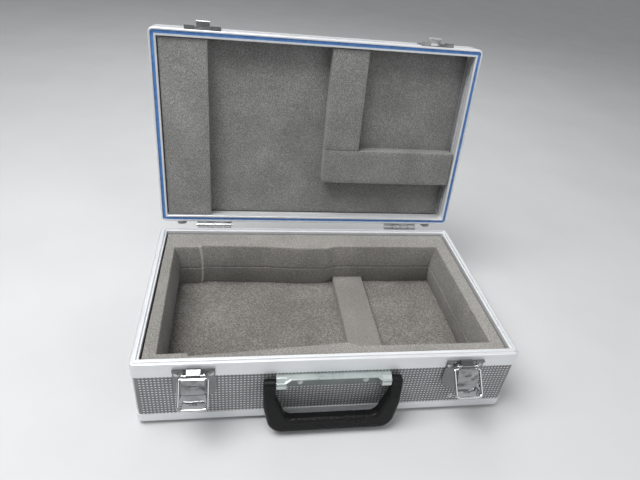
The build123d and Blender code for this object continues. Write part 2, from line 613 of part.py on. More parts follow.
def build():
    """Every node of the case, by name, as a list of solids."""
    nodes = {}

    front, back, right, left = wall_boards(-BASE_H + 4.6, -2.4)
    bottom = flat_board(-BASE_H + 1.2)
    lid_front, lid_back, lid_right, lid_left = wall_boards(5.0, LID_H - 4.6)
    lid_top = flat_board(LID_H - 4.2)
    base_long, base_short = mitred(base_rim_ring(), -RIM_FACE, TONGUE_H)
    low_long, low_short = mitred(lower_ring(), -BASE_H, -BASE_H + EDGE_FACE)
    lid_long, lid_short = mitred(lid_rim_ring(), PARTING_GAP, LID_RIM_FACE)
    crown_long, crown_short = mitred(crown_ring(), LID_H - EDGE_FACE, LID_H)

    outward = (0, -1, 0)
    inward = (0, 1, 0)
    latch_at = latch_rivet_places()
    keeper_at = keeper_rivet_places()
    bracket_at = [(s * 33.0, FRONT - BRACKET_FACE, RIM_Z - 29.0) for s in (-1, 1)]
    bracket_shank = BRACKET_FACE + SKIN + BOARD
    stud_at = [(130.5, FRONT + SKIN, RIM_Z - 62.5)]
    base_hinge_at = hinge_rivet_places(False)
    lid_hinge_at = hinge_rivet_places(True)
    long_shank = BOARD + SKIN + PLATE_T

    def holes(places, direction, depth):
        return [rivet_hole(p, direction, WALL_RIVET, depth) for p in places]

    latch_holes = holes(latch_at, outward, long_shank)
    keeper_holes = holes(keeper_at, outward, long_shank)
    bracket_holes = holes(bracket_at, outward, bracket_shank)
    base_hinge_holes = holes(base_hinge_at, inward, 1.6 + LEG)
    lid_hinge_holes = holes(lid_hinge_at, inward, 1.6 + LEG)
    stud_holes = holes(stud_at, outward, BOARD)

    feet_at = [(sx * (CASE_W / 2 - FOOT_IN), sy * (CASE_D / 2 - FOOT_IN)) for sx in (-1, 1) for sy in (-1, 1)]
    screw_holes = [rod((x, y, 1.6), (0, 0, 1), 1.4, 4.6) for x, y in feet_at]
    base_back_at = [(sx * WALL_FOOT_X, RIM_Z - 54.0) for sx in (-1, 1)]
    lid_back_at = [(sx * WALL_FOOT_X, RIM_Z + 16.2) for sx in (-1, 1)]
    back_at = base_back_at + lid_back_at
    back_screw_holes = [rod((x, BACK - SKIN - 2, z), (0, 1, 0), 1.4, 5) for x, z in back_at]

    # base shell
    nodes["base_rim_long_rails"] = cut_all(base_long, latch_holes + base_hinge_holes)
    nodes["base_rim_side_rails"] = base_short
    nodes["base_lower_long_rails"] = low_long
    nodes["base_lower_side_rails"] = low_short
    nodes["base_front_board"] = cut_all([front], latch_holes + bracket_holes + stud_holes)
    nodes["base_back_board"] = cut_all([back], base_hinge_holes + back_screw_holes)
    nodes["base_left_board"] = [left]
    nodes["base_right_board"] = [right]
    nodes["base_bottom_board"] = cut_all([bottom], screw_holes)
    nodes["base_feet"] = [base_foot(x, y) for x, y in feet_at]
    nodes["base_foot_screws"] = [foot_screw(x, y) for x, y in feet_at]
    nodes["base_back_feet"] = [wall_foot(x, z) for x, z in base_back_at]
    nodes["base_back_foot_screws"] = [wall_screw(x, z) for x, z in base_back_at]

    # base foam
    w = CASE_W / 2 - FOAM_INSET
    d = CASE_D / 2 - FOAM_INSET
    nodes["base_foam_floor"] = [box(-w, w, -d, d, FOOT_H + 5.6, RIM_Z + FOAM_FLOOR)]
    nodes["base_foam_lower_surround"] = foam_ring(FOAM_FLOOR, FOAM_SEAM, True).solids()
    nodes["base_foam_upper_surround"] = foam_ring(FOAM_SEAM, FOAM_TOP, False).solids()
    nodes["base_foam_divider"] = [box(30.0, 68.5, -91.0, 75.0, RIM_Z + FOAM_FLOOR, RIM_Z + FOAM_FLOOR + 10)]

    # hardware on the base
    for name, sx in (("left", -1), ("right", 1)):
        nodes["latch_plate_" + name] = cut_all([latch_plate(sx)], latch_holes)
        nodes["latch_pin_" + name] = [latch_pin(sx)]
        nodes["latch_lever_" + name] = [latch_lever(sx)]
        nodes["latch_bail_" + name] = [latch_bail(sx)]
        nodes["hinge_base_leaf_" + name] = cut_all([hinge_leaf(sx, False)], base_hinge_holes)
    nodes["latch_plate_rivets"] = [rivet(p, outward, 2.6, 0.9, WALL_RIVET, long_shank) for p in latch_at]
    nodes["handle_bracket"] = cut_all([handle_bracket()], bracket_holes)
    bracket_rivets = [rivet(p, outward, 3.2, 1.7, WALL_RIVET, bracket_shank) for p in bracket_at]
    nodes["handle_bracket_rivets"] = bracket_rivets
    nodes["handle_pins"] = [handle_pin(s) for s in (-1, 1)]
    nodes["handle_grip"] = [handle_grip()]
    nodes["front_stud"] = [rivet(p, outward, 2.8, 1.7, WALL_RIVET, BOARD) for p in stud_at]
    nodes["hinge_pins"] = [hinge_pin(s) for s in (-1, 1)]
    shank = 1.6 + LEG
    nodes["hinge_base_rivets"] = [rivet(p, inward, 2.6, 0.9, WALL_RIVET, shank, 0.7) for p in base_hinge_at]

    # lid, drawn closed
    lid = {}
    lid["lid_rim_long_rails"] = cut_all(lid_long, keeper_holes + lid_hinge_holes)
    lid["lid_rim_side_rails"] = lid_short
    lid["lid_crown_long_rails"] = crown_long
    lid["lid_crown_side_rails"] = crown_short
    lid["lid_front_board"] = cut_all([lid_front], keeper_holes)
    lid["lid_back_board"] = cut_all([lid_back], lid_hinge_holes + back_screw_holes)
    lid["lid_left_board"] = [lid_left]
    lid["lid_right_board"] = [lid_right]
    lid["lid_top_board"] = [lid_top]
    lid["lid_seal"] = [loop(2.3, 5.9, 1.9, 3.6)]
    lid["lid_foam_sheet"] = [lid_block(-180.8, 180.8, -104.8, 107.0, LID_SHEET, LID_H - 5.6)]
    lid["lid_foam_column"] = [lid_block(-180.7, -128.0, -104.7, 105.0, LID_FOAM_FACE, LID_SHEET)]
    lid["lid_foam_upright"] = [lid_block(12.0, 54.7, -104.7, 14.5, LID_FOAM_FACE, LID_SHEET)]
    lid["lid_foam_crossbar"] = [lid_block(12.0, 180.7, 14.7, 57.8, LID_FOAM_FACE, LID_SHEET)]
    for name, sx in (("left", -1), ("right", 1)):
        lid["keeper_" + name] = cut_all([keeper(sx)], keeper_holes)
        lid["hinge_lid_leaf_" + name] = cut_all([hinge_leaf(sx, True)], lid_hinge_holes)
    lid["keeper_rivets"] = [rivet(p, outward, 2.6, 0.9, WALL_RIVET, long_shank) for p in keeper_at]
    lid["hinge_lid_rivets"] = [rivet(p, inward, 2.6, 0.9, WALL_RIVET, 1.6 + LEG, 0.7) for p in lid_hinge_at]
    lid["lid_back_feet"] = [wall_foot(x, z) for x, z in lid_back_at]
    lid["lid_back_foot_screws"] = [wall_screw(x, z) for x, z in lid_back_at]
    for name, solids in lid.items():
        nodes[name] = [opened(solid) for solid in solids]
    return nodes


for name, solids in build().items():
    flat = [part for solid in solids for part in solid.solids()]
    shape = flat[0] if len(flat) == 1 else Compound(children=flat)
    export_step(Pos(0, -MIDDLE_Y, 0) * shape, "parts/" + name + ".step")
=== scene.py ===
import bpy
import bmesh
import math
from mathutils import Matrix, Vector, noise


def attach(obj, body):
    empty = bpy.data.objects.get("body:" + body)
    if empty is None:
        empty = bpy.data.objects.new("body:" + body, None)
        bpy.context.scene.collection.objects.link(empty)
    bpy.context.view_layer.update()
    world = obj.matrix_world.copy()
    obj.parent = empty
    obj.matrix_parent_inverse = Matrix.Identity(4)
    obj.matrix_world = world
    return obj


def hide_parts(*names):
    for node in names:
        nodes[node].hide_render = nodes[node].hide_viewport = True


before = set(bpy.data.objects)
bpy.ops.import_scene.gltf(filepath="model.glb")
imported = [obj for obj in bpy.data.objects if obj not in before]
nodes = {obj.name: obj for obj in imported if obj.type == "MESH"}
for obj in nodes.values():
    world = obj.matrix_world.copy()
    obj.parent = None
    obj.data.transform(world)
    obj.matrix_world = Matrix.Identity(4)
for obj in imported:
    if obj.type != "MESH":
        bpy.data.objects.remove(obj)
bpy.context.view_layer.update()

# The case is described here in millimetres about the middle of its base. "up" is the height
# above the plane where the lid and the base part. Lid pieces are described closed.
MIDDLE_Y = 15.5
CASE_W = 380.0
CASE_D = 228.0
RIM_Z = 85.3
FLOOR_Z = 3.0
LID_H = 33.0
HINGE_Y = 119.0
HINGE_Z = 85.9
OPEN_ANGLE = 96.3

# The boards. A dimple is PITCH across with its gap, and its foot and top are given as half sizes.
# The frames' faces are RIM_FACE and EDGE_FACE high, and the dimples run on TUCK behind them.
PITCH = 3.44
DIMPLE_FOOT = (1.22, 0.92)
DIMPLE_TOP = (0.92, 0.62)
DIMPLE_RISE = 0.34
SKIN = 1.0
BOARD = 3.0
SHEET_R = 4.5
TURN = SHEET_R * math.pi / 4
RIM_FACE = 16.2
EDGE_FACE = 12.7
TUCK = 1.5

# Where the boards end: WALL_END from the closed case's top and bottom, and the gaps from the
# parting plane. The flat boards are FLAT_SHORT smaller than the case and lie FLAT_IN inside it.
# LID_FIELD and FLAT_MARGIN say where the dimples of the lid's walls and of the flat boards end.
WALL_END = 4.6
BASE_GAP = 2.4
LID_GAP = 5.0
LID_FIELD = (5.4, 17.0)
FLAT_SHORT = 10.8
FLAT_IN = 1.2
FLAT_MARGIN = 6.5

# A board's materials in order, and a foam layer's second and third. Its first is for its flat faces.
GROUND, RAISED, INSIDE, FLANK, FOLD = range(5)
CUT, STRIP = 1, 2

# The foam. Its levels are "up", except PAD_LOW, which is above the base's underside. CAVITY is
# the recess's outline, seen from above and going clockwise from the back left.
FOAM_INSET = 9.2
FOAM_TOP = -4.0
FOAM_SEAM = -31.0
FOAM_FLOOR = -60.0
FOAM_BULGE = 5.0
PAD_LOW = 5.6
DIVIDER_TOP = -50.0
LID_FOAM_FACE = 3.0
LID_SHEET = 21.0
LID_SHEET_BACK = 27.4
WALL_STEPS = 13
WALL_GRID = 3.0
SOFT_EDGE = 0.5
BLOCK_GRID = 6.0
BLOCK_LUMPS = 0.1
CAVITY = [
    (-169.8, 74.9), (-140.6, 75.6), (-138.2, 78.7), (-60.4, 76.9), (-20.1, 73.5),
    (17.1, 73.5), (30.2, 77.9), (164.1, 77.5), (166.1, -93.3), (48.3, -93.3),
    (28.2, -92.9), (15.1, -88.2), (-138.5, -100.3), (-139.8, -96.3), (-168.2, -96.9),
]

# The handle. Its grain is deep along the bar, which is BAR_HIGH to BAR_LOW under the pivot and
# BAR_HALF to each side. The bracket's plate gets painted shade within PLATE_HALF, behind PLATE_FRONT.
HANDLE_PIVOT = (0, -119, 59.5)
HANDLE_TILT = 11.5
PIN_HOLE_R = 2.2
PIN_HOLE_X = (50.0, 66.5)
BAR_HIGH = 38.0
BAR_LOW = 54.0
BAR_HALF = 54.0
PEBBLE = 1.9
PEBBLE_R = 0.62
ARM_GRAIN = 0.05
BAR_GRAIN = 0.42
GRIP_MESH = 0.5
PLATE_HALF = 47.0
PLATE_FRONT = -115.4


def pt(x, y, z):
    """A point in metres in the row's frame."""
    return Vector((x, y - MIDDLE_Y, z)) * 0.001


HINGE = pt(0, HINGE_Y, HINGE_Z)
OPENING = Matrix.Rotation(math.radians(-OPEN_ANGLE), 4, "X")
OPENED = Matrix.Translation(HINGE) @ OPENING @ Matrix.Translation(-HINGE)


# ---------------------------------------------------------------- camera, floor and lights
def make_camera():
    """The camera in front and a little to the left, looking down into the open case."""
    az, el, roll = (math.radians(a) for a in (11.0, 33.932, 6.580))
    ahead = Vector((math.sin(az) * math.cos(el), math.cos(az) * math.cos(el), -math.sin(el)))
    level = ahead.cross(Vector((0, 0, 1))).normalized()
    over = level.cross(ahead)
    right = level * math.cos(roll) + over * math.sin(roll)
    up = over * math.cos(roll) - level * math.sin(roll)
    data = bpy.data.cameras.new("camera")
    data.sensor_width = 36.0
    data.lens = 28.05
    data.clip_start = 0.02
    cam = bpy.data.objects.new("camera", data)
    bpy.context.scene.collection.objects.link(cam)
    turn = Matrix((right, up, -ahead)).transposed().to_4x4()
    cam.matrix_world = Matrix.Translation(pt(-91.4, -434.1, 442.5)) @ turn
    bpy.context.scene.camera = cam


def area_light(name, place, aim, size, power):
    """A rectangular lamp aimed at a point, in metres and watts."""
    data = bpy.data.lights.new(name, "AREA")
    data.shape = "RECTANGLE"
    data.size, data.size_y = size
    data.energy = power
    lamp = bpy.data.objects.new(name, data)
    bpy.context.scene.collection.objects.link(lamp)
    lamp.location = place
    lamp.rotation_euler = (Vector(aim) - Vector(place)).to_track_quat("-Z", "Y").to_euler()


def make_world():
    """A soft studio: dark below and at the horizon, brightening to white overhead."""
    world = bpy.data.worlds.new("studio")
    bpy.context.scene.world = world
    world.use_nodes = True
    tree = world.node_tree
    back = tree.nodes["Background"]
    coords = tree.nodes.new("ShaderNodeTexCoord")
    split = tree.nodes.new("ShaderNodeSeparateXYZ")
    low = [(0.0, (0.10, 0.105, 0.11)), (0.22, (0.14, 0.145, 0.15))]
    high = [(0.50, (0.70, 0.72, 0.74)), (1.0, (1.0, 1.01, 1.02))]
    tree.links.new(coords.outputs["Generated"], split.inputs[0])
    tree.links.new(ramp(tree, split.outputs["Z"], low + high), back.inputs["Color"])
    back.inputs["Strength"].default_value = 0.44


def make_floor():
    """A plain pale floor, 18 metres across."""
    mesh = bpy.data.meshes.new("studio_floor")
    s = 9.0
    mesh.from_pydata([(-s, -s, 0), (s, -s, 0), (s, s, 0), (-s, s, 0)], [], [(0, 1, 2, 3)])
    floor = bpy.data.objects.new("studio_floor", mesh)
    bpy.context.scene.collection.objects.link(floor)
    m, tree, shader = material("studio_floor")
    tone = blotches(tree, 6.0, 3, (0.60, 0.605, 0.61), (0.64, 0.643, 0.65))
    tree.links.new(tone, shader.inputs["Base Color"])
    shader.inputs["Roughness"].default_value = 0.7
    mesh.materials.append(m)


# ---------------------------------------------------------------- material helpers
def material(name):
    """A new material, with its node tree and its main shader."""
    m = bpy.data.materials.new(name)
    m.use_nodes = True
    tree = m.node_tree
    return m, tree, tree.nodes["Principled BSDF"]


def object_coords(tree, stretch=(1, 1, 1)):
    """The object's own coordinates in metres, each scaled by stretch."""
    coords = tree.nodes.new("ShaderNodeTexCoord")
    mapping = tree.nodes.new("ShaderNodeMapping")
    mapping.inputs["Scale"].default_value = stretch
    tree.links.new(coords.outputs["Object"], mapping.inputs["Vector"])
    return mapping.outputs["Vector"]


def grain(tree, scale, detail, stretch=(1, 1, 1), rough=0.55):
    """A noise value from 0 to 1, scale being its lumps per metre."""
    tex = tree.nodes.new("ShaderNodeTexNoise")
    tex.inputs["Scale"].default_value = scale
    tex.inputs["Detail"].default_value = detail
    tex.inputs["Roughness"].default_value = rough
    tree.links.new(object_coords(tree, stretch), tex.inputs["Vector"])
    return tex.outputs["Fac"]


def cells(tree, scale):
    """The distance to the nearest of many scattered points, scale being how many there are per metre."""
    tex = tree.nodes.new("ShaderNodeTexVoronoi")
    tex.feature = "F1"
    tex.inputs["Scale"].default_value = scale
    tree.links.new(object_coords(tree), tex.inputs["Vector"])
    return tex.outputs["Distance"]


def ramp(tree, value, stops):
    """Colours along a value. stops is a list of (position, colour)."""
    node = tree.nodes.new("ShaderNodeValToRGB")
    elements = node.color_ramp.elements
    while len(elements) < len(stops):
        elements.new(0.5)
    for element, (position, colour) in zip(elements, stops):
        element.position = position
        element.color = (*colour, 1)
    tree.links.new(value, node.inputs["Fac"])
    return node.outputs["Color"]


def blotches(tree, scale, detail, low, high):
    """Soft patches between two colours."""
    return ramp(tree, grain(tree, scale, detail), [(0.3, low), (0.7, high)])


def ranged(tree, value, low, high, a=0.3, b=0.7):
    """A value spread between two limits."""
    node = tree.nodes.new("ShaderNodeMapRange")
    node.inputs["From Min"].default_value = a
    node.inputs["From Max"].default_value = b
    node.inputs["To Min"].default_value = low
    node.inputs["To Max"].default_value = high
    tree.links.new(value, node.inputs["Value"])
    return node.outputs["Result"]


def mixed(tree, factor, one, two, how="MIX"):
    """Two colours mixed by a factor. Each may be a value or another node's output."""
    node = tree.nodes.new("ShaderNodeMix")
    node.data_type = "RGBA"
    node.blend_type = how
    sockets = (node.inputs["Factor"], node.inputs[6], node.inputs[7])
    for socket, value in zip(sockets, (factor, one, two)):
        if isinstance(value, bpy.types.NodeSocket):
            tree.links.new(value, socket)
        elif isinstance(value, tuple):
            socket.default_value = (*value, 1)
        else:
            socket.default_value = value
    return node.outputs[2]


def bumped(tree, shader, height, strength, distance, before=None):
    """Adds a bump of that distance in metres, on top of an earlier bump if there is one."""
    node = tree.nodes.new("ShaderNodeBump")
    node.inputs["Strength"].default_value = strength
    node.inputs["Distance"].default_value = distance
    tree.links.new(height, node.inputs["Height"])
    if before is not None:
        tree.links.new(before, node.inputs["Normal"])
    tree.links.new(node.outputs["Normal"], shader.inputs["Normal"])
    return node.outputs["Normal"]


# ---------------------------------------------------------------- materials
def metal(name, low, high, rough, metallic, stretch, lines, scratch, waves=0.0, wear=1.0):
    """A metal with fine drawn lines, faint smudges and, with waves, a gently uneven surface.

    stretch draws the lines out along an axis, and wear is how much smudges and lines dull it.
    """
    m, tree, shader = material(name)
    drawn = grain(tree, lines, 3, stretch)
    smudge = grain(tree, 38.0, 4)
    tone = mixed(tree, ranged(tree, smudge, 0.0, 1.0), low, high)
    dull = tuple(c * (1 - 0.14 * wear) for c in high)
    tree.links.new(mixed(tree, ranged(tree, drawn, 0.0, 0.35), tone, dull), shader.inputs["Base Color"])
    haze = ranged(tree, smudge, rough - 0.05 * wear, rough + 0.09 * wear)
    node = tree.nodes.new("ShaderNodeMath")
    node.operation = "ADD"
    tree.links.new(haze, node.inputs[0])
    tree.links.new(ranged(tree, drawn, -0.04 * wear, 0.05 * wear), node.inputs[1])
    tree.links.new(node.outputs[0], shader.inputs["Roughness"])
    shader.inputs["Metallic"].default_value = metallic
    first = bumped(tree, shader, drawn, scratch, 0.00004)
    if waves:
        bumped(tree, shader, grain(tree, 95.0, 1), waves, 0.0009, first)
    return m


def foam_material(name, low, high, pore, painted_light_slope=(0.0, 0.0), coarse_mix=0.55):
    """Open-cell foam: pores of two sizes, light cell edges and a slow change of tone.

    The slope is painted light: how much lighter the foam is painted, per metre, towards the right
    and towards the back, standing in for light that falls unevenly.
    """
    m, tree, shader = material(name)
    coarse = cells(tree, 1000.0 / pore)
    fine = grain(tree, 1500.0 / pore, 4, rough=0.72)
    slow = grain(tree, 22.0, 3)
    base = mixed(tree, ranged(tree, slow, 0.0, 1.0), low, high)
    pore_tones = [(0.10, (0.42, 0.42, 0.42)), (0.45, (0.92, 0.92, 0.92)), (0.8, (1.25, 1.25, 1.25))]
    speck_tones = [(0.33, (0.58, 0.58, 0.58)), (0.5, (1.0, 1.0, 1.0)), (0.68, (1.42, 1.41, 1.39))]
    pores = ramp(tree, coarse, pore_tones)
    speck = ramp(tree, fine, speck_tones)
    base = mixed(tree, coarse_mix, base, mixed(tree, 1.0, base, pores, "MULTIPLY"))
    split = tree.nodes.new("ShaderNodeSeparateXYZ")
    tree.links.new(object_coords(tree), split.inputs[0])
    # Painted light: the tone is ramped across the case and towards the back, standing in for uneven light.
    across = ranged(tree, split.outputs["X"], 1.0 - painted_light_slope[0] * 0.19, 1.0 + painted_light_slope[0] * 0.19, -0.19, 0.19)
    painted_light_along_y = ranged(tree, split.outputs["Y"], 1.0 - painted_light_slope[1] * 0.11, 1.0 + painted_light_slope[1] * 0.11, -0.126, 0.094)
    base = mixed(tree, 1.0, base, across, "MULTIPLY")
    base = mixed(tree, 1.0, base, painted_light_along_y, "MULTIPLY")
    tree.links.new(mixed(tree, 1.0, base, speck, "MULTIPLY"), shader.inputs["Base Color"])
    shader.inputs["Roughness"].default_value = 0.97
    shader.inputs["Specular IOR Level"].default_value = 0.15
    shader.inputs["Sheen Weight"].default_value = 0.12
    shader.inputs["Sheen Roughness"].default_value = 0.6
    first = bumped(tree, shader, coarse, 0.6, 0.0005)
    bumped(tree, shader, fine, 0.5, 0.0004, first)
    return m


def rubber(name, low, high, rough=0.62):
    """Rubber with a fine, slightly uneven skin."""
    m, tree, shader = material(name)
    tree.links.new(blotches(tree, 160.0, 4, low, high), shader.inputs["Base Color"])
    tree.links.new(ranged(tree, grain(tree, 700.0, 3), rough - 0.08, rough + 0.1), shader.inputs["Roughness"])
    bumped(tree, shader, grain(tree, 2600.0, 3), 0.35, 0.00008)
    return m


def grip_material():
    """Black moulded plastic: the grain itself is modelled, this adds the finest of it and pale dusty specks,
    which are also painted glints.
    """
    m, tree, shader = material("grip_black")
    fine = grain(tree, 2600.0, 3)
    black = [(0.35, (0.0035, 0.0035, 0.004)), (0.65, (0.0085, 0.0085, 0.009))]
    tone = ramp(tree, grain(tree, 900.0, 3), black)
    # Pale dusty specks, which also stand in as painted glints on the grain.
    dust_and_glints = ranged(tree, grain(tree, 420.0, 4), 0.0, 0.05, 0.55, 0.72)
    tree.links.new(mixed(tree, dust_and_glints, tone, (0.12, 0.12, 0.125)), shader.inputs["Base Color"])
    tree.links.new(ranged(tree, grain(tree, 300.0, 3), 0.34, 0.48), shader.inputs["Roughness"])
    shader.inputs["Specular IOR Level"].default_value = 0.24
    bumped(tree, shader, fine, 0.35, 0.00006)
    return m


def board_material(name, low, high, rough, metallic):
    """One part of a board: the sheet's ground, its raised squares, their sides, its folds, or the inside."""
    m, tree, shader = material(name)
    tree.links.new(blotches(tree, 30.0, 4, low, high), shader.inputs["Base Color"])
    tree.links.new(ranged(tree, grain(tree, 900.0, 3), rough - 0.07, rough + 0.1), shader.inputs["Roughness"])
    shader.inputs["Metallic"].default_value = metallic
    bumped(tree, shader, grain(tree, 1800.0, 2), 0.3, 0.00005)
    return m


def add_metals(mats):
    """The frames, the latches, the handle's bracket and the hinges."""
    pale, white = (0.80, 0.815, 0.835), (0.86, 0.87, 0.89)
    upright = (1, 1, 0.15)
    mats["frame_x"] = metal("frame_long_rail", pale, white, 0.38, 0.50, (0.03, 1, 1), 1800, 0.015, 0.0, 0.2)
    mats["frame_y"] = metal("frame_side_rail", pale, white, 0.38, 0.50, (1, 0.03, 1), 1800, 0.015, 0.0, 0.2)
    # Painted reflection: the latches' chrome is darker than bare chrome, standing in for the dark
    # surroundings it reflects.
    low, high = (0.32, 0.32, 0.33), (0.60, 0.60, 0.61)
    mats["chrome"] = metal("latch_chrome_painted_dark_reflection", low, high, 0.08, 1.0, upright, 700, 0.12, 0.45)
    # Painted shade and reflection: the latch plates are much darker than bare metal, standing in for the
    # shade and dark reflections on them.
    low, high = (0.17, 0.17, 0.175), (0.27, 0.27, 0.275)
    mats["plate"] = metal("plate_painted_shade", low, high, 0.12, 1.0, upright, 700, 0.12, 0.35)
    low, high = (0.48, 0.48, 0.49), (0.66, 0.66, 0.67)
    mats["keeper"] = metal("keeper_chrome", low, high, 0.16, 0.85, (0.15, 1, 1), 700, 0.1)
    low, high = (0.56, 0.56, 0.57), (0.74, 0.74, 0.75)
    mats["wire"] = metal("bail_wire", low, high, 0.10, 1.0, (1, 1, 0.2), 600, 0.1)
    low, high = (0.56, 0.62, 0.60), (0.74, 0.79, 0.77)
    mats["zinc"] = metal("bracket_zinc", low, high, 0.30, 0.85, (0.1, 1, 1), 500, 0.3)
    # Painted shade: a darker copy of the bracket's zinc for its plate under the ledge.
    low, high = (0.17, 0.20, 0.19), (0.26, 0.29, 0.28)
    mats["zinc_shade"] = metal("bracket_recess_painted_shade", low, high, 0.40, 0.7, (0.1, 1, 1), 500, 0.3)
    low, high = (0.50, 0.50, 0.50), (0.70, 0.70, 0.71)
    mats["steel"] = metal("rivet_steel", low, high, 0.24, 1.0, (1, 1, 1), 800, 0.25)
    low, high = (0.40, 0.40, 0.40), (0.56, 0.56, 0.56)
    mats["hinge"] = metal("hinge_steel", low, high, 0.34, 0.9, (0.08, 1, 1), 900, 0.12)


def add_foams(mats):
    """The foam's cut sheet and walls, its bent strip, its floor, the divider and the lid's foam."""
    # The pair after each pore size is painted light: a tone ramp across the case and towards the back.
    low, high = (0.262, 0.253, 0.235), (0.325, 0.314, 0.295)
    mats["foam_top"] = foam_material("foam_cut_sheet", low, high, 1.3, (0.5, 0.35), 0.75)
    low, high = (0.190, 0.183, 0.169), (0.250, 0.241, 0.225)
    mats["foam_cut"] = foam_material("foam_cut_wall", low, high, 1.3, (0.3, 0.0), 0.75)
    mats["foam_edge"] = foam_material("foam_bent_strip", (0.44, 0.43, 0.41), (0.55, 0.54, 0.51), 1.1)
    low, high = (0.160, 0.152, 0.138), (0.23, 0.22, 0.203)
    mats["foam_floor"] = foam_material("foam_coarse", low, high, 2.1, (0.35, 0.0), 0.85)
    mats["foam_block"] = foam_material("foam_divider", (0.225, 0.216, 0.20), (0.28, 0.269, 0.25), 1.2)
    low, high = (0.205, 0.204, 0.199), (0.275, 0.273, 0.268)
    mats["foam_lid"] = foam_material("foam_fine", low, high, 1.35, (-0.5, 0.0), 0.8)


def add_boards(mats):
    """The boards' ground, raised squares, the squares' sides, the folds and the inside."""
    low, high = (0.205, 0.207, 0.212), (0.26, 0.262, 0.27)
    mats["face"] = board_material("board_ground", low, high, 0.46, 0.25)
    low, high = (0.72, 0.73, 0.75), (0.86, 0.865, 0.885)
    mats["dimple"] = board_material("board_dimples", low, high, 0.36, 0.45)
    low, high = (0.10, 0.10, 0.102), (0.15, 0.15, 0.153)
    mats["flank"] = board_material("board_dimple_sides", low, high, 0.5, 0.3)
    low, high = (0.50, 0.50, 0.51), (0.66, 0.66, 0.67)
    mats["fold"] = board_material("board_fold", low, high, 0.4, 0.5)
    low, high = (0.46, 0.455, 0.44), (0.54, 0.535, 0.52)
    mats["inside"] = board_material("board_inside", low, high, 0.6, 0.0)


def make_materials():
    """Every material, by a short key."""
    mats = {}
    add_metals(mats)
    add_foams(mats)
    mats["seal"] = rubber("seal_blue", (0.06, 0.18, 0.45), (0.11, 0.27, 0.60))
    mats["foot"] = rubber("foot_grey", (0.42, 0.42, 0.41), (0.52, 0.52, 0.51), 0.55)
    mats["grip"] = grip_material()
    add_boards(mats)
    return mats


def paint(obj, m):
    """Gives an object one material."""
    obj.data.materials.clear()
    obj.data.materials.append(m)


# ---------------------------------------------------------------- mesh helpers
def make_object(name, verts, faces, mats, indices=None, matrix=None):
    """A mesh object from millimetre points about the middle of the base."""
    mesh = bpy.data.meshes.new(name)
    place = [pt(*v) for v in verts]
    if matrix is not None:
        place = [matrix @ p for p in place]
    mesh.from_pydata(place, [], faces)
    for m in mats:
        mesh.materials.append(m)
    if indices is not None:
        mesh.polygons.foreach_set("material_index", indices)
    mesh.update()
    obj = bpy.data.objects.new(name, mesh)
    bpy.context.scene.collection.objects.link(obj)
    return obj


def smooth_by_angle(mesh, degrees):
    """Smooth shading that stays sharp across edges steeper than the angle."""
    limit = math.radians(degrees)
    bm = bmesh.new()
    bm.from_mesh(mesh)
    for edge in bm.edges:
        edge.smooth = len(edge.link_faces) == 2 and edge.calc_face_angle(0.0) < limit
    for face in bm.faces:
        face.smooth = True
    bm.to_mesh(mesh)
    bm.free()


def wall_place(corner, across, length):
    """How a wall's outer face runs: round half a corner, straight, and round half the next corner.

    The result turns a distance along it, a height and a distance outwards into a point.
    """
    corner, across, up = Vector(corner), Vector(across), Vector((0, 0, 1))
    outward = across.cross(up)

    def place(a, b, h):
        start = min(max(a - TURN, 0.0), length)
        angle = (a - TURN - start) / SHEET_R
        reach = across * math.sin(angle) + outward * math.cos(angle)
        return corner + across * start - outward * SHEET_R + reach * (SHEET_R + h) + up * b

    return place


def flat_place(corner, across, up):
    """How a flat face runs, in the same way."""
    corner, across, up = Vector(corner), Vector(across), Vector(up)
    outward = across.cross(up)

    def place(a, b, h):
        return corner + across * a + up * b + outward * h

    return place


def dimple_marks(low, high):
    """The lines of a row of cells that fits between two distances."""
    count = int((high - low) / PITCH)
    start = low + ((high - low) - count * PITCH) / 2
    return [start + k * PITCH for k in range(count + 1)]


